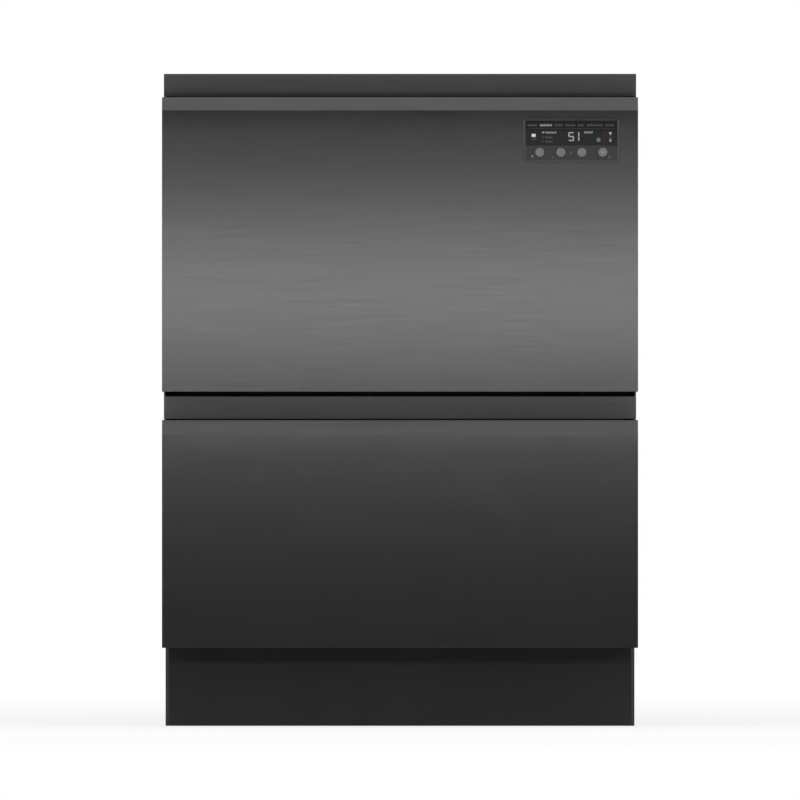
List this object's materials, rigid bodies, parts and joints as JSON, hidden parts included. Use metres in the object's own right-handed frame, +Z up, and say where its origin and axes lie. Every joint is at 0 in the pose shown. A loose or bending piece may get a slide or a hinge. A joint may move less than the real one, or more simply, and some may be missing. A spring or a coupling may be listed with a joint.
{
  "type": "double dishwasher drawer",
  "caption": "Built-in drawer dishwasher: stacked dark steel fronts with recessed handles, tubs on telescopic runners, racks, spray arms and a toe kick.",
  "frame": {"origin": "on the floor, in the middle of the machine's width and depth", "axes": "+X to the right seen from the front, +Y to the back wall, +Z up; the drawers pull out along -Y"},
  "size_m": [0.599, 0.573, 0.822],
  "materials": {
    "black_stainless": "brushed, tinted black, grain along the width",
    "toe_steel": "satin black paint",
    "zinc_steel": "zinc coated sheet, matt",
    "black_plastic": "moulded, fine texture",
    "grey_plastic": "moulded polypropylene",
    "pale_plastic": "moulded, satin",
    "coated_wire": "nylon coated steel wire",
    "seal_rubber": "soft matt rubber",
    "panel_black": "smooth dark window",
    "button_grey": "satin metallic"
  },
  "bodies": {
    "chassis": {"chassis_side_left": "zinc_steel", "chassis_side_right": "zinc_steel", "chassis_back": "zinc_steel", "chassis_top": "zinc_steel", "base_tray": "grey_plastic", "handle_strip_upper": "black_stainless", "handle_strip_lower": "black_stainless", "toe_kick": "toe_steel", "water_valve": "pale_plastic", "power_gland": "black_plastic", "lower_runner_outer_left": "zinc_steel", "lower_lid_actuator_left": "black_plastic", "lower_runner_outer_right": "zinc_steel", "lower_lid_actuator_right": "black_plastic", "upper_runner_outer_left": "zinc_steel", "upper_lid_actuator_left": "black_plastic", "upper_runner_outer_right": "zinc_steel", "upper_lid_actuator_right": "black_plastic"},
    "foot_front_left": {"foot_front_left": "black_plastic"},
    "foot_front_right": {"foot_front_right": "black_plastic"},
    "foot_rear_left": {"foot_rear_left": "black_plastic"},
    "foot_rear_right": {"foot_rear_right": "black_plastic"},
    "lower_drawer": {"lower_runner_inner_left": "zinc_steel", "lower_runner_inner_right": "zinc_steel", "lower_front_skin": "black_stainless", "lower_front_backing": "black_plastic", "lower_tub": "grey_plastic", "lower_wash_motor": "black_plastic", "lower_filter": "grey_plastic", "lower_rack": "coated_wire", "lower_dispenser": "pale_plastic"},
    "lower_runner_middles": {"lower_runner_middle_left": "zinc_steel", "lower_runner_middle_right": "zinc_steel"},
    "lower_arm": {"lower_spray_arm": "pale_plastic"},
    "lower_tines": {"lower_folding_tines": "coated_wire"},
    "lower_cup_door": {"lower_dispenser_door": "grey_plastic"},
    "lower_lid_unit": {"lower_lid": "pale_plastic", "lower_lid_seal": "seal_rubber"},
    "upper_drawer": {"upper_runner_inner_left": "zinc_steel", "upper_runner_inner_right": "zinc_steel", "upper_front_skin": "black_stainless", "upper_front_backing": "black_plastic", "upper_tub": "grey_plastic", "upper_wash_motor": "black_plastic", "upper_filter": "grey_plastic", "upper_rack": "coated_wire", "upper_dispenser": "pale_plastic", "cutlery_basket": "grey_plastic", "control_panel": "panel_black"},
    "upper_runner_middles": {"upper_runner_middle_left": "zinc_steel", "upper_runner_middle_right": "zinc_steel"},
    "upper_arm": {"upper_spray_arm": "pale_plastic"},
    "upper_tines": {"upper_folding_tines": "coated_wire"},
    "upper_cup_door": {"upper_dispenser_door": "grey_plastic"},
    "upper_lid_unit": {"upper_lid": "pale_plastic", "upper_lid_seal": "seal_rubber"},
    "button_1": {"button_1": "button_grey"},
    "button_2": {"button_2": "button_grey"},
    "button_3": {"button_3": "button_grey"},
    "button_4": {"button_4": "button_grey"}
  },
  "joints": [
    {"name": "foot_front_left_height", "type": "slide", "parent": "chassis", "child": "foot_front_left", "axis": [0, 0, -1], "range_m": [0, 0.058]},
    {"name": "foot_front_right_height", "type": "slide", "parent": "chassis", "child": "foot_front_right", "axis": [0, 0, -1], "range_m": [0, 0.058]},
    {"name": "foot_rear_left_height", "type": "slide", "parent": "chassis", "child": "foot_rear_left", "axis": [0, 0, -1], "range_m": [0, 0.058]},
    {"name": "foot_rear_right_height", "type": "slide", "parent": "chassis", "child": "foot_rear_right", "axis": [0, 0, -1], "range_m": [0, 0.058]},
    {"name": "lower_drawer_slide", "type": "slide", "parent": "chassis", "child": "lower_drawer", "axis": [0, -1, 0], "range_m": [0, 0.44]},
    {"name": "lower_runner_travel", "type": "slide", "parent": "chassis", "child": "lower_runner_middles", "axis": [0, -1, 0], "range_m": [0, 0.22]},
    {"name": "lower_arm_spin", "type": "hinge", "parent": "lower_drawer", "child": "lower_arm", "pos_m": [0, 0, 0.162], "axis": [0, 0, 1], "continuous": true},
    {"name": "lower_tines_fold", "type": "hinge", "parent": "lower_drawer", "child": "lower_tines", "pos_m": [0.05, 0.045, 0.19], "axis": [1, 0, 0], "range_deg": [0, 80]},
    {"name": "lower_cup_door_slide", "type": "slide", "parent": "lower_drawer", "child": "lower_cup_door", "axis": [1, 0, 0], "range_m": [0, 0.058]},
    {"name": "lower_lid_travel", "type": "slide", "parent": "chassis", "child": "lower_lid_unit", "axis": [0, 0, -1], "range_m": [0, 0.008]},
    {"name": "upper_drawer_slide", "type": "slide", "parent": "chassis", "child": "upper_drawer", "axis": [0, -1, 0], "range_m": [0, 0.44]},
    {"name": "upper_runner_travel", "type": "slide", "parent": "chassis", "child": "upper_runner_middles", "axis": [0, -1, 0], "range_m": [0, 0.22]},
    {"name": "upper_arm_spin", "type": "hinge", "parent": "upper_drawer", "child": "upper_arm", "pos_m": [0, 0, 0.489], "axis": [0, 0, 1], "continuous": true},
    {"name": "upper_tines_fold", "type": "hinge", "parent": "upper_drawer", "child": "upper_tines", "pos_m": [0.05, 0.045, 0.517], "axis": [1, 0, 0], "range_deg": [0, 80]},
    {"name": "upper_cup_door_slide", "type": "slide", "parent": "upper_drawer", "child": "upper_cup_door", "axis": [1, 0, 0], "range_m": [0, 0.058]},
    {"name": "upper_lid_travel", "type": "slide", "parent": "chassis", "child": "upper_lid_unit", "axis": [0, 0, -1], "range_m": [0, 0.008]},
    {"name": "button_1_press", "type": "slide", "parent": "upper_drawer", "child": "button_1", "axis": [0, 1, 0], "range_m": [0, 0.0012], "stiffness_N_per_m": 500, "springref_m": -0.001},
    {"name": "button_2_press", "type": "slide", "parent": "upper_drawer", "child": "button_2", "axis": [0, 1, 0], "range_m": [0, 0.0012], "stiffness_N_per_m": 500, "springref_m": -0.001},
    {"name": "button_3_press", "type": "slide", "parent": "upper_drawer", "child": "button_3", "axis": [0, 1, 0], "range_m": [0, 0.0012], "stiffness_N_per_m": 500, "springref_m": -0.001},
    {"name": "button_4_press", "type": "slide", "parent": "upper_drawer", "child": "button_4", "axis": [0, 1, 0], "range_m": [0, 0.0012], "stiffness_N_per_m": 500, "springref_m": -0.001}
  ],
  "couplings": [
    {"joint": "lower_runner_travel", "follows": "lower_drawer_slide", "ratio": 0.5},
    {"joint": "upper_runner_travel", "follows": "upper_drawer_slide", "ratio": 0.5}
  ]
}
